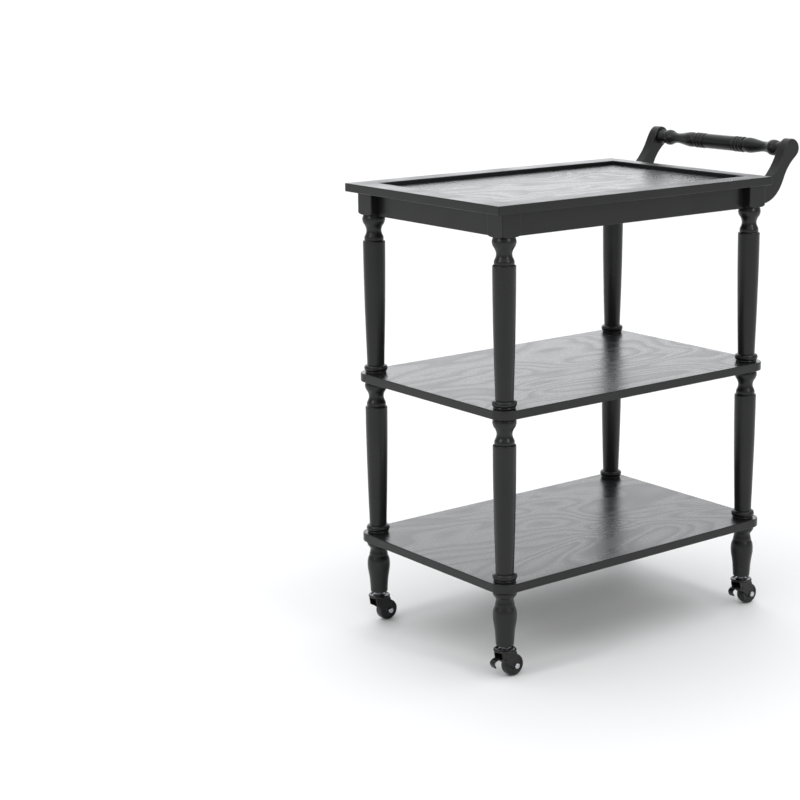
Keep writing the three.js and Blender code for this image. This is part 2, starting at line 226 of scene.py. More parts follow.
def lacquer(name, axis):
    material = newMaterial(name)
    tree = material.node_tree
    stretch = [lacquerLook["across"]] * 3
    stretch["XYZ".index(axis)] = lacquerLook["along"]
    coords = addNode(tree, "ShaderNodeTexCoord")
    streakSpace = addNode(tree, "ShaderNodeMapping", {"Vector": coords.outputs["Object"], "Scale": stretch})
    streaks = addNode(tree, "ShaderNodeTexNoise", {
        "Vector": streakSpace.outputs[0], "Scale": 1.0, "Detail": 3.0, "Roughness": 0.6})
    film = addNode(tree, "ShaderNodeTexNoise", {
        "Vector": coords.outputs["Object"], "Scale": lacquerLook["cloudSize"], "Detail": 2.0})
    peel = addNode(tree, "ShaderNodeTexNoise", {
        "Vector": coords.outputs["Object"], "Scale": lacquerLook["peelSize"], "Detail": 1.0})
    tint = addNode(tree, "ShaderNodeMix", {"Factor": streaks.outputs["Fac"]}, data_type="RGBA")
    pick(tint.inputs, "A").default_value = linearColour(lacquerLook["deep"])
    pick(tint.inputs, "B").default_value = linearColour(lacquerLook["worn"])
    low, high = lacquerLook["sheen"]
    sheen = addNode(tree, "ShaderNodeMapRange", {
        "Value": film.outputs["Fac"], "From Min": 0.3, "From Max": 0.7, "To Min": low, "To Max": high})
    grainBump = addNode(tree, "ShaderNodeBump", {
        "Height": streaks.outputs["Fac"], "Strength": 0.6, "Distance": lacquerLook["streakDepth"]})
    peelBump = addNode(tree, "ShaderNodeBump", {
        "Height": peel.outputs["Fac"], "Strength": 0.5, "Distance": lacquerLook["peelDepth"],
        "Normal": grainBump.outputs[0]})
    shader = addNode(tree, "ShaderNodeBsdfPrincipled", {
        "Base Color": pick(tint.outputs, "Result"), "Roughness": sheen.outputs[0],
        "IOR": lacquerLook["bend"], "Normal": peelBump.outputs[0]})
    addNode(tree, "ShaderNodeOutputMaterial", {"Surface": shader.outputs[0]})
    return material


# Rotary-cut oak veneer under thin black lacquer. Peeling a log leaves wide swirling growth lines, nested
# like contours on a map and pulled out along X, and open pores that the lacquer doesn't fill.
# The real pores are about 0.2 mm wide; they are drawn 1.2 mm apart so that they survive at this size.
veneerLook = {
    "deep": "#151516",
    "worn": "#1d1d1f",
    "figureAlong": 2.6,
    "figureAcross": 6.5,
    "rings": 15.0,
    "poreAlong": 42,
    "poreAcross": 850,
    "sheen": (0.26, 0.34),
    "ringDepth": 0.000018,
    "poreDepth": 0.00009,
    "bend": 1.5,
    # dark line, bright edge and slow fade across one growth ring: (place, height)
    "ringEnds": 0.15,
    "ringShape": ((0.18, 0.9), (0.3, 1.0), (0.75, 0.45)),
}


def veneer(name, offset):
    material = newMaterial(name)
    tree = material.node_tree
    coords = addNode(tree, "ShaderNodeTexCoord")
    figureSpace = addNode(tree, "ShaderNodeMapping", {
        "Vector": coords.outputs["Object"], "Location": offset,
        "Scale": (veneerLook["figureAlong"], veneerLook["figureAcross"], 1.0)})
    figure = addNode(tree, "ShaderNodeTexNoise", {
        "Vector": figureSpace.outputs[0], "Scale": 1.0, "Detail": 1.5, "Roughness": 0.45, "Distortion": 0.5})
    rings = addNode(tree, "ShaderNodeMath", {
        0: figure.outputs["Fac"], 1: veneerLook["rings"]}, operation="MULTIPLY")
    part = addNode(tree, "ShaderNodeMath", {0: rings.outputs[0]}, operation="FRACT")
    line = addNode(tree, "ShaderNodeFloatCurve", {"Value": part.outputs[0]})
    curve = line.mapping.curves[0]
    curve.points[0].location = (0.0, veneerLook["ringEnds"])
    curve.points[1].location = (1.0, veneerLook["ringEnds"])
    for spot in veneerLook["ringShape"]:
        curve.points.new(*spot)
    line.mapping.update()
    poreSpace = addNode(tree, "ShaderNodeMapping", {
        "Vector": coords.outputs["Object"], "Location": offset,
        "Scale": (veneerLook["poreAlong"], veneerLook["poreAcross"], 60)})
    pores = addNode(tree, "ShaderNodeTexNoise", {
        "Vector": poreSpace.outputs[0], "Scale": 1.0, "Detail": 2.0, "Roughness": 0.55})
    pits = addNode(tree, "ShaderNodeMapRange", {
        "Value": pores.outputs["Fac"], "From Min": 0.36, "From Max": 0.6, "To Min": 0.0, "To Max": 1.0})
    tint = addNode(tree, "ShaderNodeMix", {"Factor": line.outputs[0]}, data_type="RGBA")
    pick(tint.inputs, "A").default_value = linearColour(veneerLook["deep"])
    pick(tint.inputs, "B").default_value = linearColour(veneerLook["worn"])
    low, high = veneerLook["sheen"]
    sheen = addNode(tree, "ShaderNodeMapRange", {
        "Value": line.outputs[0], "From Min": 0.0, "From Max": 1.0, "To Min": high, "To Max": low})
    ringBump = addNode(tree, "ShaderNodeBump", {
        "Height": line.outputs[0], "Strength": 0.5, "Distance": veneerLook["ringDepth"]})
    poreBump = addNode(tree, "ShaderNodeBump", {
        "Height": pits.outputs[0], "Strength": 0.5, "Distance": veneerLook["poreDepth"],
        "Normal": ringBump.outputs[0]})
    shader = addNode(tree, "ShaderNodeBsdfPrincipled", {
        "Base Color": pick(tint.outputs, "Result"), "Roughness": sheen.outputs[0],
        "IOR": veneerLook["bend"], "Normal": poreBump.outputs[0]})
    addNode(tree, "ShaderNodeOutputMaterial", {"Surface": shader.outputs[0]})
    return material


# small parts
partLook = {
    # bright zinc plate on turned and pressed steel: cool silver with a faint blue cast, cloudy in its sheen
    "brightZinc": {
        "deep": "#b4b8bd", "worn": "#d3d6d9", "metal": 1.0, "sheen": (0.2, 0.36),
        "grain": 900, "depth": 0.00001},
    # dip-coated pressed steel: a thin, rather glossy black film, slightly wavy over the pressing
    "dippedSteel": {
        "deep": "#0c0c0c", "worn": "#141413", "metal": 0.0, "sheen": (0.2, 0.32),
        "grain": 420, "depth": 0.00003},
    # moulded nylon wheel: near black, semi-matt, with the fine spark-eroded texture of its mould
    "mouldedNylon": {
        "deep": "#0d0d0d", "worn": "#141414", "metal": 0.0, "sheen": (0.28, 0.4),
        "grain": 1500, "depth": 0.00003},
}
blackBend = 1.42  # index of the two black finishes; the metal keeps the default


def partFinish(name):
    look = partLook[name]
    material = newMaterial(name)
    tree = material.node_tree
    coords = addNode(tree, "ShaderNodeTexCoord")
    cloud = addNode(tree, "ShaderNodeTexNoise", {
        "Vector": coords.outputs["Object"], "Scale": 60.0, "Detail": 3.0})
    grain = addNode(tree, "ShaderNodeTexNoise", {
        "Vector": coords.outputs["Object"], "Scale": look["grain"], "Detail": 2.0})
    tint = addNode(tree, "ShaderNodeMix", {"Factor": cloud.outputs["Fac"]}, data_type="RGBA")
    pick(tint.inputs, "A").default_value = linearColour(look["deep"])
    pick(tint.inputs, "B").default_value = linearColour(look["worn"])
    low, high = look["sheen"]
    sheen = addNode(tree, "ShaderNodeMapRange", {
        "Value": cloud.outputs["Fac"], "From Min": 0.3, "From Max": 0.7, "To Min": low, "To Max": high})
    bump = addNode(tree, "ShaderNodeBump", {
        "Height": grain.outputs["Fac"], "Strength": 0.5, "Distance": look["depth"]})
    shader = addNode(tree, "ShaderNodeBsdfPrincipled", {
        "Base Color": pick(tint.outputs, "Result"), "Roughness": sheen.outputs[0],
        "Metallic": look["metal"], "Normal": bump.outputs[0]})
    if look["metal"] == 0.0:
        shader.inputs["IOR"].default_value = blackBend
    addNode(tree, "ShaderNodeOutputMaterial", {"Surface": shader.outputs[0]})
    return material


turnedLacquer = lacquer("lacqueredTurning", "Z")
barLacquer = lacquer("lacqueredBar", "Y")
boardLacquer = lacquer("lacqueredBoard", "X")
crossLacquer = lacquer("lacqueredCrossBoard", "Y")
topVeneer = veneer("blackVeneerTop", (0.4, 1.3, 0.0))
middleVeneer = veneer("blackVeneerMiddle", (5.2, 3.1, 0.0))
bottomVeneer = veneer("blackVeneerBottom", (9.7, 7.4, 0.0))
brightZinc = partFinish("brightZinc")
dippedSteel = partFinish("dippedSteel")
mouldedNylon = partFinish("mouldedNylon")
print("finishes")


# shared shape helpers

weldGap = 0.002 * mm


def cleaned(mesh):
    work = bmesh.new()
    work.from_mesh(mesh)
    bmesh.ops.remove_doubles(work, verts=work.verts, dist=weldGap)
    bmesh.ops.recalc_face_normals(work, faces=work.faces)
    work.to_mesh(mesh)
    work.free()
    return mesh


def evaluatedMesh(thing):
    return bpy.data.meshes.new_from_object(thing.evaluated_get(bpy.context.evaluated_depsgraph_get()))


def finishPiece(mesh, name, material, body, nodes, sharpAngle=40):
    cleaned(mesh)
    mesh.shade_smooth()
    mesh.set_sharp_from_angle(angle=math.radians(sharpAngle))
    mesh.materials.clear()
    mesh.materials.append(material)
    rough = link(bpy.data.objects.new(name + "Rough", mesh))
    weigh = rough.modifiers.new("weigh", "WEIGHTED_NORMAL")  # flats stay flat beside their rounded edges
    weigh.keep_sharp = True
    smooth = evaluatedMesh(rough)
    bpy.data.objects.remove(rough)
    piece = link(bpy.data.objects.new(name, smooth))
    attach(piece, body)
    if nodes:
        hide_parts(*nodes)
    return piece


def paintNode(node, material):
    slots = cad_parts[node].data.materials
    slots.clear()
    slots.append(material)


# one solid from two that overlap
def combine(name, first, second, how):
    base = link(bpy.data.objects.new(name + "A", cleaned(first)))
    other = link(bpy.data.objects.new(name + "B", cleaned(second)))
    cut = base.modifiers.new("cut", "BOOLEAN")
    cut.operation = how
    cut.solver = "EXACT"
    cut.object = other
    mesh = evaluatedMesh(base)
    bpy.data.objects.remove(base)
    bpy.data.objects.remove(other)
    return mesh


def roundEdges(work, width, segments, angle=50):
    sharp = [e for e in work.edges if len(e.link_faces) == 2 and e.calc_face_angle() > math.radians(angle)]
    bmesh.ops.bevel(work, geom=sharp, offset=width, segments=segments, profile=0.5, affect="EDGES",
                    clamp_overlap=True)


def meshFrom(work, name):
    bmesh.ops.recalc_face_normals(work, faces=work.faces)
    mesh = bpy.data.meshes.new(name)
    work.to_mesh(mesh)
    work.free()
    return mesh


# A flat outline raised between two levels. flat tells which plane the outline lies in.
def raised(outline, low, high, flat="XY"):
    work = bmesh.new()
    rings = []
    for level in (low, high):
        if flat == "XY":
            rings.append([work.verts.new((x, y, level)) for x, y in outline])
        else:
            rings.append([work.verts.new((x, level, z)) for x, z in outline])
    work.faces.new(rings[0])
    work.faces.new(rings[1])
    count = len(outline)
    for i in range(count):
        j = (i + 1) % count
        work.faces.new((rings[0][i], rings[0][j], rings[1][j], rings[1][i]))
    bmesh.ops.recalc_face_normals(work, faces=work.faces)
    return work


def arcPoints(x, y, radius, start, end, count):
    angles = [math.radians(start + (end - start) * i / count) for i in range(count + 1)]
    return [(x + radius * math.cos(a), y + radius * math.sin(a)) for a in angles]


def bezierPoints(a, b, c, d, count):
    points = []
    for i in range(1, count + 1):
        t = i / count
        s = 1 - t
        shares = (s * s * s, 3 * s * s * t, 3 * s * t * t, t * t * t)
        points.append(tuple(sum(share * p for share, p in zip(shares, axis)) for axis in zip(a, b, c, d)))
    return points


def moved(mesh, offset):
    mesh.transform(Matrix.Translation(offset))
    return mesh


def joinMeshes(name, meshes):
    work = bmesh.new()
    for mesh in meshes:
        work.from_mesh(mesh)
    return meshFrom(work, name)


# named inputs of a Geometry Nodes tree, and its one output
def treeInputs(tree, kinds):
    for name, kind in kinds.items():
        tree.interface.new_socket(name=name, in_out="INPUT", socket_type="NodeSocket" + kind)
    tree.interface.new_socket(name="Geometry", in_out="OUTPUT", socket_type="NodeSocketGeometry")
    return addNode(tree, "NodeGroupInput")


# every tree ends the same way: real geometry in its finish
def treeOutput(tree, shape, finish):
    real = addNode(tree, "GeometryNodeRealizeInstances", {"Geometry": shape})
    painted = addNode(tree, "GeometryNodeSetMaterial", {"Geometry": real.outputs[0], "Material": finish})
    addNode(tree, "NodeGroupOutput", {0: painted.outputs[0]})


# Geometry Nodes: a profile spun about an axis. Row by row, the grid takes its radius and height from
# the profile's own points.
def spinTree():
    tree = bpy.data.node_groups.new("spunProfile", "GeometryNodeTree")
    given = treeInputs(tree, {"Profile": "Object", "Sides": "Int", "Place": "Vector", "Turn": "Vector",
                              "Finish": "Material"})
    profile = addNode(tree, "GeometryNodeObjectInfo", {"Object": given.outputs["Profile"]})
    points = addNode(tree, "GeometryNodeCurveToMesh", {"Curve": profile.outputs["Geometry"]})
    rows = addNode(tree, "GeometryNodeAttributeDomainSize", {"Geometry": points.outputs[0]}, component="MESH")
    columns = addNode(tree, "ShaderNodeMath", {0: given.outputs["Sides"], 1: 1.0}, operation="ADD")
    grid = addNode(tree, "GeometryNodeMeshGrid", {
        "Vertices X": rows.outputs["Point Count"], "Vertices Y": columns.outputs[0]})
    index = addNode(tree, "GeometryNodeInputIndex")
    cell = {0: index.outputs[0], 1: columns.outputs[0]}
    along = addNode(tree, "ShaderNodeMath", cell, operation="DIVIDE")
    row = addNode(tree, "ShaderNodeMath", {0: along.outputs[0]}, operation="FLOOR")
    column = addNode(tree, "ShaderNodeMath", cell, operation="MODULO")
    step = addNode(tree, "ShaderNodeMath", {0: math.tau, 1: given.outputs["Sides"]}, operation="DIVIDE")
    angle = addNode(tree, "ShaderNodeMath", {0: column.outputs[0], 1: step.outputs[0]}, operation="MULTIPLY")
    where = addNode(tree, "GeometryNodeInputPosition")
    sample = addNode(tree, "GeometryNodeSampleIndex", data_type="FLOAT_VECTOR", domain="POINT")
    tree.links.new(points.outputs[0], pick(sample.inputs, "Geometry"))
    tree.links.new(where.outputs[0], pick(sample.inputs, "Value"))
    tree.links.new(row.outputs[0], pick(sample.inputs, "Index"))
    parts = addNode(tree, "ShaderNodeSeparateXYZ", {0: pick(sample.outputs, "Value")})
    radius = parts.outputs["X"]
    cosine = addNode(tree, "ShaderNodeMath", {0: angle.outputs[0]}, operation="COSINE")
    sine = addNode(tree, "ShaderNodeMath", {0: angle.outputs[0]}, operation="SINE")
    acrossX = addNode(tree, "ShaderNodeMath", {0: radius, 1: cosine.outputs[0]}, operation="MULTIPLY")
    acrossY = addNode(tree, "ShaderNodeMath", {0: radius, 1: sine.outputs[0]}, operation="MULTIPLY")
    spot = addNode(tree, "ShaderNodeCombineXYZ", {
        "X": acrossX.outputs[0], "Y": acrossY.outputs[0], "Z": parts.outputs["Y"]})
    wrapped = addNode(tree, "GeometryNodeSetPosition", {
        "Geometry": grid.outputs["Mesh"], "Position": spot.outputs[0]})
    closed = addNode(tree, "GeometryNodeMergeByDistance", {
        "Geometry": wrapped.outputs[0], "Distance": weldGap})
    placed = addNode(tree, "GeometryNodeTransform", {
        "Geometry": closed.outputs[0], "Translation": given.outputs["Place"],
        "Rotation": given.outputs["Turn"]})
    treeOutput(tree, placed.outputs[0], given.outputs["Finish"])
    return tree


def runTree(tree, name, values):
    holder = link(bpy.data.objects.new(name + "Build", bpy.data.meshes.new(name + "Build")))
    modifier = holder.modifiers.new("build", "NODES")
    modifier.node_group = tree
    sockets = [item for item in tree.interface.items_tree if item.in_out == "INPUT"]
    identifiers = {item.name: item.identifier for item in sockets}
    for label, value in values.items():
        modifier[identifiers[label]] = value
    mesh = evaluatedMesh(holder)
    holder.modifiers.remove(modifier)
    bpy.data.objects.remove(holder)
    return mesh


lathe = spinTree()
acrossTurn = (math.radians(-90), 0, 0)  # lays a spun piece along Y


# A profile is a list of (radius, height, kind) in mm: "c" is a crisp corner and "s" a smooth turn.
def spun(name, profile, place, finish, sides=64, turn=(0, 0, 0), smoothness=7):
    data = bpy.data.curves.new(name + "Profile", "CURVE")
    data.dimensions = "3D"
    data.resolution_u = smoothness
    spline = data.splines.new("BEZIER")
    spline.bezier_points.add(len(profile) - 1)
    for point, (radius, height, kind) in zip(spline.bezier_points, profile):
        point.co = (radius * mm, height * mm, 0)
        point.handle_left_type = point.handle_right_type = "VECTOR" if kind == "c" else "AUTO"
    holder = link(bpy.data.objects.new(name + "Profile", data))
    mesh = runTree(lathe, name, {
        "Profile": holder, "Sides": sides, "Place": list(place), "Turn": list(turn), "Finish": finish})
    bpy.data.objects.remove(holder)
    return mesh


# top: frame, veneered panel, aprons and braces

topLook = {"edge": 1.5, "apronEdge": 1.0, "braceEdge": 0.8, "panelGap": 0.3, "lip": 10}


def buildTopFrame():
    low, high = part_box("top_rail_front")
    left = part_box("top_rail_left")[0]
    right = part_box("top_rail_right")[1]
    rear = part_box("top_rail_rear")[1]
    panelLow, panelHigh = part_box("top_panel")
    gap = topLook["panelGap"] * mm
    lip = topLook["lip"] * mm
    ledge = panelLow.z - gap
    top, bottom = high.z, low.z
    outer = (left.x, low.y, right.x, rear.y)
    inner = (panelLow.x - gap, panelLow.y - gap, panelHigh.x + gap, panelHigh.y + gap)
    lipBox = (inner[0] + lip, inner[1] + lip, inner[2] - lip, inner[3] - lip)
    loops = ((outer, bottom), (outer, top), (inner, top), (inner, ledge), (lipBox, ledge), (lipBox, bottom))
    work = bmesh.new()
    rings = []
    for (x0, y0, x1, y1), z in loops:
        rings.append([work.verts.new(p) for p in ((x0, y0, z), (x1, y0, z), (x1, y1, z), (x0, y1, z))])
    for k, ring in enumerate(rings):
        after = rings[(k + 1) % len(rings)]
        for i in range(4):
            j = (i + 1) % 4
            work.faces.new((ring[i], ring[j], after[j], after[i]))
    bmesh.ops.recalc_face_normals(work, faces=work.faces)
    roundEdges(work, topLook["edge"] * mm, 3)
    finishPiece(meshFrom(work, "topFrame"), "topFrame", boardLacquer, "frame",
                ["top_rail_front", "top_rail_rear", "top_rail_left", "top_rail_right"])


# a board that is square in the CAD, with its edges sanded over
def easedBoard(node, name, material, edge):
    work = bmesh.new()
    work.from_mesh(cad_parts[node].data)
    bmesh.ops.remove_doubles(work, verts=work.verts, dist=weldGap)
    bmesh.ops.dissolve_limit(work, angle_limit=math.radians(1), verts=work.verts, edges=work.edges)
    roundEdges(work, edge * mm, 3, angle=25)
    finishPiece(meshFrom(work, name), name, material, "frame", [node])


buildTopFrame()
paintNode("top_panel", topVeneer)
for side in ("front", "rear", "left", "right"):
    grainWay = boardLacquer if side in ("front", "rear") else crossLacquer
    easedBoard("apron_" + side, "apronPiece_" + side, grainWay, topLook["apronEdge"])
for leg in legs:
    easedBoard("corner_brace_" + leg, "brace_" + leg, boardLacquer, topLook["braceEdge"])


# Geometry Nodes: a screw head set on every point of a mesh, facing the way the point's "aim" says.
def screwTree():
    tree = bpy.data.node_groups.new("screwRow", "GeometryNodeTree")
    given = treeInputs(tree, {"Spots": "Object", "Head": "Float", "Depth": "Float", "Slot": "Float",
                              "Seed": "Int", "Finish": "Material"})
    spots = addNode(tree, "GeometryNodeObjectInfo", {"Object": given.outputs["Spots"]})
    # a shallow domed head: a ball cut down, with a cross cut into it
    ball = addNode(tree, "GeometryNodeMeshUVSphere", {
        "Segments": 20, "Rings": 10, "Radius": given.outputs["Head"]})
    flat = addNode(tree, "ShaderNodeMath", {
        0: given.outputs["Depth"], 1: given.outputs["Head"]}, operation="DIVIDE")
    squash = addNode(tree, "ShaderNodeCombineXYZ", {"X": 1.0, "Y": 1.0, "Z": flat.outputs[0]})
    dome = addNode(tree, "GeometryNodeTransform", {
        "Geometry": ball.outputs["Mesh"], "Scale": squash.outputs[0]})
    thick = addNode(tree, "ShaderNodeCombineXYZ", {
        "X": given.outputs["Head"], "Y": given.outputs["Slot"], "Z": given.outputs["Depth"]})
    barOne = addNode(tree, "GeometryNodeMeshCube", {"Size": thick.outputs[0]})
    lift = addNode(tree, "ShaderNodeCombineXYZ", {"Z": given.outputs["Depth"]})
    cutOne = addNode(tree, "GeometryNodeTransform", {
        "Geometry": barOne.outputs["Mesh"], "Translation": lift.outputs[0]})
    cutTwo = addNode(tree, "GeometryNodeTransform", {
        "Geometry": cutOne.outputs[0], "Rotation": (0, 0, math.pi / 2)})
    crossed = addNode(tree, "GeometryNodeMeshBoolean", {"Mesh 1": dome.outputs[0]}, operation="DIFFERENCE")
    tree.links.new(cutOne.outputs[0], pick(crossed.inputs, "Mesh 2"))
    tree.links.new(cutTwo.outputs[0], pick(crossed.inputs, "Mesh 2"))
    aimed = addNode(tree, "GeometryNodeInputNamedAttribute", {"Name": "aim"}, data_type="FLOAT_VECTOR")
    aim = addNode(tree, "FunctionNodeAlignRotationToVector", {
        "Vector": pick(aimed.outputs, "Attribute")}, axis="Z")
    chance = addNode(tree, "FunctionNodeRandomValue", {"Seed": given.outputs["Seed"]}, data_type="FLOAT")
    pick(chance.inputs, "Max").default_value = math.tau
    twist = addNode(tree, "ShaderNodeCombineXYZ", {"Z": pick(chance.outputs, "Value")})
    turned = addNode(tree, "FunctionNodeRotateRotation", {
        "Rotation": aim.outputs[0], "Rotate By": twist.outputs[0]}, rotation_space="LOCAL")
    placed = addNode(tree, "GeometryNodeInstanceOnPoints", {
        "Points": spots.outputs["Geometry"], "Instance": crossed.outputs[0], "Rotation": turned.outputs[0]})
    treeOutput(tree, placed.outputs[0], given.outputs["Finish"])
    return tree


# two wood screws through each brace, heads on the face that looks to the middle of the top
screwLook = {"head": 4.0, "depth": 1.6, "slot": 1.1, "spacing": 16, "seed": 4}


def braceScrews():
    spots, aims = [], []
    for leg in legs:
        away = cartMiddle - legSpots[leg]
        inward = Vector((math.copysign(1, away.x), math.copysign(1, away.y), 0)).normalized()
        along = Vector((-inward.y, inward.x, 0))
        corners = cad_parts["corner_brace_" + leg].data.vertices
        centre = middleOf("corner_brace_" + leg)
        reach = max(corner.co.dot(inward) for corner in corners)
        face = centre + inward * (reach - centre.dot(inward))
        for side in (-1, 1):
            spots.append(face + along * (side * screwLook["spacing"] * mm))
            aims += list(inward)
    mesh = bpy.data.meshes.new("screwSpots")
    mesh.from_pydata(spots, [], [])
    mesh.attributes.new("aim", "FLOAT_VECTOR", "POINT").data.foreach_set("vector", aims)
    holder = link(bpy.data.objects.new("screwSpots", mesh))
    screws = runTree(screwTree(), "braceScrews", {
        "Spots": holder, "Head": screwLook["head"] * mm, "Depth": screwLook["depth"] * mm,
        "Slot": screwLook["slot"] * mm, "Seed": screwLook["seed"], "Finish": brightZinc})
    bpy.data.objects.remove(holder)
    finishPiece(screws, "braceScrews", brightZinc, "frame", [])


braceScrews()
print("top")


# turned posts and feet

# Heights in mm above each turning's own foot or below its head.
postLook = {
    "sides": 72,
    "blockBottom": 754.5,
    "blockSize": 40,
    "blockEdge": 1.8,
    # shoulder under the block: (radius, height above its lowest face, kind)
    "shoulder": [(0, 0, "c"), (19.4, 0, "c"), (22.0, 0.3, "s"), (24.5, 1.1, "s"), (26.5, 2.4, "s"),
                 (28.3, 4.2, "s"), (29.6, 6.4, "c"), (40, 6.4, "c")],
    # from the shelf up: foot ring, hollow, bead, and the start of the column
    "base": [(0, 0, "c"), (18.3, 0, "c"), (18.9, 0.4, "s"), (19.0, 1.6, "s"), (18.5, 2.8, "c"),
             (19.8, 3.9, "s"), (20.9, 6.4, "s"), (20.9, 9.6, "s"), (19.6, 12.2, "s"), (17.2, 13.4, "s"),
             (15.5, 13.9, "c")],
    # relative to the head: column end, shoulder, ring, neck, bulge
    "head": [(19.8, -48.6, "c"), (19.3, -47.1, "s"), (17.6, -46.2, "s"), (16.7, -45.8, "c"),
             (17.1, -43.8, "s"), (16.9, -39.8, "s"), (16.2, -37.8, "c"), (14.3, -33.6, "s"),
             (13.4, -29.0, "s"), (13.9, -24.6, "s"), (15.7, -20.0, "s"), (18.5, -15.4, "s"),
             (20.1, -10.8, "s"), (20.4, -8.2, "s"), (20.0, -5.2, "s"), (19.1, -2.6, "s")],
    # the column swells a little on its way up: its radius at the top, the share of it that is lost at the
    # shelf, how late that goes, and the shares of its length where it is set out
    "column": 19.8,
    "taper": 0.225,
    "swell": 1.75,
    "columnShares": (0.92, 0.8, 0.66, 0.5, 0.34, 0.18),
}
footLook = {
    "sides": 72,
    # heights above the foot's lower end
    "outline": [(0, 0, "c"), (14.4, 0, "c"), (15.3, 0.6, "s"), (15.6, 2.2, "s"), (15.9, 7.0, "s"),
                (16.2, 12.0, "s"), (16.6, 18.5, "s"), (17.2, 25.5, "s"), (18.1, 31.8, "s"),
                (19.2, 38.5, "s"), (20.2, 45.4, "s"), (20.6, 53.0, "s"), (20.3, 59.0, "s"),
                (19.3, 64.0, "s"), (17.6, 68.2, "s"), (16.7, 70.4, "c"), (16.6, 73.4, "s"),
                (16.1, 75.2, "c"), (15.3, 78.6, "s"), (15.1, 82.0, "s"), (16.3, 84.6, "s"),
                (19.0, 88.3, "s"), (20.5, 91.5, "s"), (20.6, 93.4, "s"), (19.9, 96.2, "s"),
                (18.4, 98.0, "c")],
}


def postProfile(bottom, head, closing):
    base = [(r, bottom + z, kind) for r, z, kind in postLook["base"]]
    top = [(r, head + z, kind) for r, z, kind in postLook["head"]]
    start, end = base[-1][1], top[0][1]
    column = []
    for share in postLook["columnShares"]:
        radius = postLook["column"] * (1 - postLook["taper"] * share ** postLook["swell"])
        column.append((radius, end + (start - end) * share, "s"))
    return base + column + top + closing


# a turning on the axis of its leg
def onLeg(leg, name, profile, sides=postLook["sides"]):
    return spun(name, profile, (legSpots[leg].x, legSpots[leg].y, 0), turnedLacquer, sides)


def upperPost(leg):
    node = "upper_post_" + leg
    low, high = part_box(node)
    blockBottom, blockTop = postLook["blockBottom"], high.z / mm
    closing = [(18.3, blockBottom, "c"), (17.6, blockBottom + 2, "c"), (0, blockBottom + 2, "c")]
    turning = onLeg(leg, node, postProfile(low.z / mm, blockBottom, closing))
    half = postLook["blockSize"] / 2 * mm
    square = [(-half, -half), (half, -half), (half, half), (-half, half)]
    work = raised(square, (blockBottom - 1) * mm, blockTop * mm)
    roundEdges(work, postLook["blockEdge"] * mm, 3)
    block = moved(meshFrom(work, node + "Block"), (legSpots[leg].x, legSpots[leg].y, 0))
    # the lathe cuts the square's lower corners to a rounded shoulder
    shoulder = [(r, blockBottom + z, kind) for r, z, kind in postLook["shoulder"]]
    shoulder += [(40, blockTop + 1, "c"), (0, blockTop + 1, "c")]
    block = combine(node, block, onLeg(leg, node + "Shoulder", shoulder), "INTERSECT")
    return combine(node, turning, block, "UNION")


def lowerPost(leg):
    node = "lower_post_" + leg
    low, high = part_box(node)
    head = high.z / mm
    return onLeg(leg, node, postProfile(low.z / mm, head, [(18.3, head, "c"), (0, head, "c")]))


def footPiece(leg):
    node = "foot_" + leg
    low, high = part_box(node)
    outline = [(r, low.z / mm + z, kind) for r, z, kind in footLook["outline"]]
    return onLeg(leg, node, outline + [(0, high.z / mm, "c")], footLook["sides"])


for leg in legs:
    turnings = (("upperPost_", upperPost, "upper_post_"), ("lowerPost_", lowerPost, "lower_post_"),
                ("footPiece_", footPiece, "foot_"))
    for name, build, node in turnings:
        finishPiece(build(leg), name + leg, turnedLacquer, "frame", [node + leg])
    paintNode("upper_stud_" + leg, brightZinc)
    paintNode("lower_stud_" + leg, brightZinc)
print("posts and feet")


# shelves

shelfLook = {"corner": 27.5, "cornerPoints": 14, "edge": 1.4}


def buildShelf(node, name, material):
    low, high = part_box(node)
    r = shelfLook["corner"] * mm
    count = shelfLook["cornerPoints"]
    outline = arcPoints(low.x + r, low.y + r, r, 180, 270, count)
    outline += arcPoints(high.x - r, low.y + r, r, 270, 360, count)
    outline += arcPoints(high.x - r, high.y - r, r, 0, 90, count)
    outline += arcPoints(low.x + r, high.y - r, r, 90, 180, count)
    work = raised(outline, low.z, high.z)
    roundEdges(work, shelfLook["edge"] * mm, 3)
    piece = finishPiece(meshFrom(work, name), name, material, "frame", [node], sharpAngle=55)
    piece.data.materials.append(boardLacquer)
    for face in piece.data.polygons:
        face.material_index = 0 if abs(face.normal.z) > 0.95 else 1


buildShelf("middle_shelf", "middleShelf", middleVeneer)
buildShelf("bottom_shelf", "bottomShelf", bottomVeneer)
print("shelves")


# push handle

armLook = {"edge": 2.6, "rounding": 4, "curvePoints": 12}
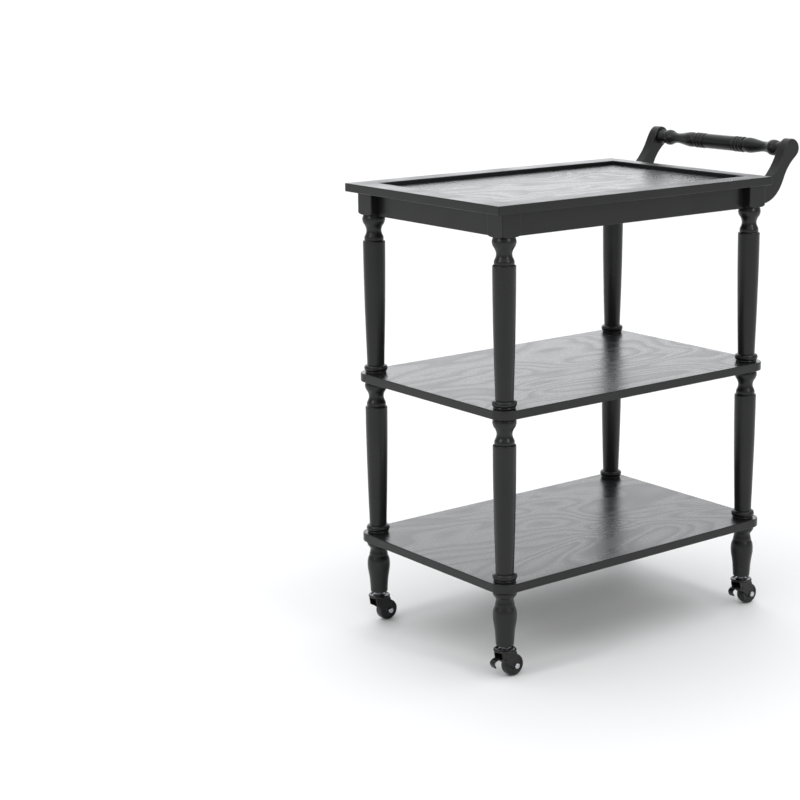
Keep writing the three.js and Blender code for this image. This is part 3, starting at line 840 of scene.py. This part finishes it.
# distance from the middle towards one arm, listed from the arm inwards: (radius, distance, kind)
barLook = {
    "sides": 64,
    "half": [(0, 172.75, "c"), (6, 172.75, "c"), (6, 160.45, "c"), (12.6, 160.45, "c"), (13.6, 159.4, "s"),
             (13.9, 157.0, "s"), (13.7, 154.4, "s"), (12.9, 152.6, "c"), (11.4, 150.6, "s"),
             (10.9, 148.4, "s"), (11.2, 146.2, "c"), (13.2, 143.6, "s"), (14.6, 138.6, "s"),
             (14.7, 134.0, "s"), (13.9, 130.4, "c"), (11.6, 125.6, "s"), (9.7, 117.0, "s"),
             (9.6, 110.0, "s"), (11.6, 96.0, "s"), (13.9, 82.0, "s"), (14.3, 75.0, "s"), (13.7, 69.0, "s"),
             (12.4, 65.4, "c"), (11.6, 64.2, "c"), (12.2, 63.2, "c"), (14.2, 61.6, "s"), (14.6, 59.2, "s"),
             (13.9, 56.4, "s"), (12.7, 55.2, "c"), (12.7, 53.6, "c"), (14.2, 52.4, "s"), (14.6, 50.2, "s"),
             (13.9, 47.6, "s"), (12.7, 46.4, "c"), (12.7, 44.8, "c"), (14.2, 43.6, "s"), (14.6, 41.2, "s"),
             (13.9, 38.6, "s"), (12.7, 37.4, "c"), (13.0, 36.4, "c"), (13.9, 35.4, "c")],
}


# worked out in mm from halfway between the legs, along X and up
def armOutline():
    c = armLook["curvePoints"]
    x = cartMiddle.x / mm
    points = [(309.3, 755), (316, 755)]
    points += bezierPoints((316, 755), (348, 755), (367, 770), (379, 797), c)
    points += bezierPoints((379, 797), (385, 811), (391, 820), (402, 830), c // 2)
    points += bezierPoints((402, 830), (410, 837), (419, 842), (419, 851), c // 2)
    points += arcPoints(399.5, 851, 19.5, 0, 90, c)[1:]
    points += bezierPoints((399.5, 870.5), (388, 869), (382, 856), (375, 842), c)
    points += bezierPoints((375, 842), (368, 828), (360, 817), (349, 806), c // 2)
    points += bezierPoints((349, 806), (338, 795), (326, 792), (309.3, 786), c)
    return [((px + x) * mm, pz * mm) for px, pz in points]


def buildArm(side):
    node = "handle_arm_" + side
    low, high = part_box(node)
    work = raised(armOutline(), low.y, high.y, flat="XZ")
    roundEdges(work, armLook["edge"] * mm, armLook["rounding"])
    finishPiece(meshFrom(work, node), "arm_" + side, turnedLacquer, "frame", [node])
    for height in ("_lower", "_upper"):
        paintNode("arm_stud_" + side + height, brightZinc)


def buildBar():
    spot = middleOf("handle_bar")
    half = barLook["half"]
    profile = [(r, -d, kind) for r, d, kind in half] + list(reversed(half))
    mesh = spun("handleBar", profile, spot, barLacquer, barLook["sides"], turn=acrossTurn)
    finishPiece(mesh, "handleBar", barLacquer, "frame", ["handle_bar"])


for side in ("front", "rear"):
    buildArm(side)
buildBar()
print("push handle")


# casters, each worked out about its own swivel axis in mm and then moved to its leg

casterLook = {
    "trail": 16,
    "axleHeight": 19,
    "plate": [(4.3, 46.5, "c"), (16.5, 46.5, "c"), (18.4, 46.9, "s"), (19.8, 48.2, "s"), (19.9, 49.4, "s"),
              (18.9, 50.6, "s"), (17.4, 51.0, "s"), (15.6, 50.6, "s"), (14.4, 49.6, "s"), (12.6, 49.4, "c"),
              (11.6, 49.8, "s"), (10.6, 50.9, "s"), (9.0, 51.0, "c"), (4.3, 51.0, "c"), (4.3, 46.5, "c")],
    "wheel": [(3.3, -9.0, "c"), (6.6, -9.0, "c"), (7.1, -8.5, "c"), (8.0, -7.1, "c"), (12.8, -7.1, "c"),
              (13.8, -8.3, "c"), (14.2, -8.6, "c"), (16.6, -8.6, "c"), (17.3, -8.2, "s"), (18.2, -7.0, "s"),
              (18.8, -5.0, "c"), (19.0, -1.0, "c"), (19.0, 1.0, "c"), (18.8, 5.0, "c"), (18.2, 7.0, "s"),
              (17.3, 8.2, "s"), (16.6, 8.6, "c"), (14.2, 8.6, "c"), (13.8, 8.3, "c"), (12.8, 7.1, "c"),
              (8.0, 7.1, "c"), (7.1, 8.5, "c"), (6.6, 9.0, "c"), (3.3, 9.0, "c"), (3.3, -9.0, "c")],
    "stem": [(0, 44.5, "c"), (4.0, 44.5, "c"), (4.0, 88.0, "c"), (3.2, 89.0, "c"), (0, 89.0, "c")],
    "washer": [(4.2, 51.3, "c"), (9.2, 51.3, "c"), (9.5, 51.6, "c"), (9.5, 52.5, "c"), (9.2, 52.8, "c"),
               (4.2, 52.8, "c"), (4.2, 51.3, "c")],
    "rivet": [(0, 44.2, "c"), (3.4, 44.2, "c"), (5.8, 44.7, "s"), (6.9, 45.7, "s"), (7.0, 46.2, "c"),
              (0, 46.2, "c")],
    "axle": [(0, -13.1, "c"), (2.9, -13.1, "c"), (3.0, 13.0, "c"), (0, 13.1, "c")],
    "boltHead": [(0, -15.5, "c"), (3.4, -15.5, "c"), (4.4, -15.0, "s"), (4.8, -14.1, "s"),
                 (4.8, -12.1, "c"), (0, -12.1, "c")],
    "cheeks": ((-11.8, -9.8), (9.8, 11.8)),  # across the wheel, from and to
    "cheekBoss": 6.5,
}


def hexNut(radius, low, high, flat="XY", turnBy=0.0):
    work = raised(arcPoints(0, 0, radius * mm, turnBy, turnBy + 300, 5), low * mm, high * mm, flat)
    roundEdges(work, 0.35 * mm, 2, angle=70)
    return meshFrom(work, "nut")


def casterStem(leg):
    spot = (legSpots[leg].x, legSpots[leg].y, 0)
    parts = [spun("stemPart", casterLook[key], spot, brightZinc, 32) for key in ("stem", "washer", "rivet")]
    parts.append(moved(hexNut(8.0, 52.9, 56.6, turnBy=12), spot))
    return joinMeshes("casterStem_" + leg, parts)


def cheekOutline():
    trail, height, boss = casterLook["trail"], casterLook["axleHeight"], casterLook["cheekBoss"]
    points = [(-15.0, 47.6), (-14.2, 41.0), (-12.5, 32.0), (-10.4, 29.6), (-7.0, 28.5)]
    points += arcPoints(trail, height, boss, 212, 381, 16)
    points += [(19.8, 33.0), (17.0, 43.0), (15.0, 47.6)]
    return [(x * mm, z * mm) for x, z in points]


def casterFork(leg):
    spot = (legSpots[leg].x, legSpots[leg].y, 0)
    parts = [spun("plate", casterLook["plate"], spot, dippedSteel, 56)]
    for low, high in casterLook["cheeks"]:
        work = raised(cheekOutline(), low * mm, high * mm, flat="XZ")
        roundEdges(work, 0.5 * mm, 2, angle=60)
        parts.append(moved(meshFrom(work, "cheek"), spot))
    return joinMeshes("casterFork_" + leg, parts)


def axleSpot(leg):
    return (legSpots[leg].x + casterLook["trail"] * mm, legSpots[leg].y, casterLook["axleHeight"] * mm)


def acrossAxle(leg, key, material, sides):
    return spun(key, casterLook[key], axleSpot(leg), material, sides, turn=acrossTurn)


def casterAxle(leg):
    parts = [acrossAxle(leg, "axle", brightZinc, 24), acrossAxle(leg, "boltHead", brightZinc, 32)]
    parts.append(moved(hexNut(4.6, 12.1, 15.5, flat="XZ"), axleSpot(leg)))
    return joinMeshes("casterAxle_" + leg, parts)


# the cam ends in a short arc about the pivot: where it starts, its step, its points and its radius
brakeLook = {
    "pivot": (-6, 34),
    "halfWidth": 5.5,
    "camHalfWidth": 8.5,
    "camStart": -0.42,
    "camStep": 0.125,
    "camPoints": 5,
    "camReach": 7.2,
    "pin": [(0, -13.0, "c"), (1.7, -13.0, "c"), (2.0, -12.7, "c"), (2.0, 12.7, "c"), (1.7, 13.0, "c"),
            (0, 13.0, "c")],
}


def brakeLever(leg):
    px, pz = brakeLook["pivot"]
    strip = [(4.0, 1.5)]
    strip += bezierPoints((4.0, 1.5), (-2.0, 5.5), (-14.0, 3.5), (-18.0, 1.5), 12)
    strip += bezierPoints((-18.0, 1.5), (-24.0, -1.5), (-24.5, -5.0), (-18.5, -13.0), 14)
    strip += [(-16.2, -11.6)]
    strip += bezierPoints((-16.2, -11.6), (-21.4, -5.0), (-20.6, -3.0), (-16.6, -1.0), 14)
    strip += bezierPoints((-16.6, -1.0), (-13.0, 0.6), (-8.0, 1.0), (-4.0, -1.8), 8)
    strip += [(0, -4.0)]
    cam = [(-3.6, 0), (-1.6, -5.4)]
    for i in range(brakeLook["camPoints"]):
        angle = math.pi * brakeLook["camStart"] + brakeLook["camStep"] * i
        cam.append((math.cos(angle) * brakeLook["camReach"], math.sin(angle) * brakeLook["camReach"]))
    cam += [(3.6, 0.6), (1.0, 3.6)]
    parts = []
    for outline, half in ((strip, brakeLook["halfWidth"]), (cam, brakeLook["camHalfWidth"])):
        placed = [((x + px) * mm, (z + pz) * mm) for x, z in outline]
        work = raised(placed, -half * mm, half * mm, flat="XZ")
        roundEdges(work, 0.5 * mm, 2, angle=45)
        parts.append(meshFrom(work, "leverPart"))
    pinSpot = (px * mm, 0, pz * mm)
    parts.append(spun("leverPin", brakeLook["pin"], pinSpot, dippedSteel, 24, turn=acrossTurn))
    return moved(joinMeshes("brakeLever_" + leg, parts), (legSpots[leg].x, legSpots[leg].y, 0))


for leg in legs:
    rider = "caster_" + leg
    wheel = acrossAxle(leg, "wheel", mouldedNylon, 72)
    finishPiece(casterStem(leg), "casterStem_" + leg, brightZinc, "frame",
                ["caster_stem_" + leg])
    finishPiece(casterFork(leg), "casterFork_" + leg, dippedSteel, rider,
                ["caster_fork_" + leg])
    finishPiece(casterAxle(leg), "casterAxle_" + leg, brightZinc, rider,
                ["caster_axle_" + leg])
    finishPiece(wheel, "casterWheel_" + leg, mouldedNylon, "wheel_" + leg,
                ["caster_wheel_" + leg])
for leg in brakedLegs:
    finishPiece(brakeLever(leg), "brakeLever_" + leg, dippedSteel, "brake_" + leg,
                ["brake_lever_" + leg])
print("casters")
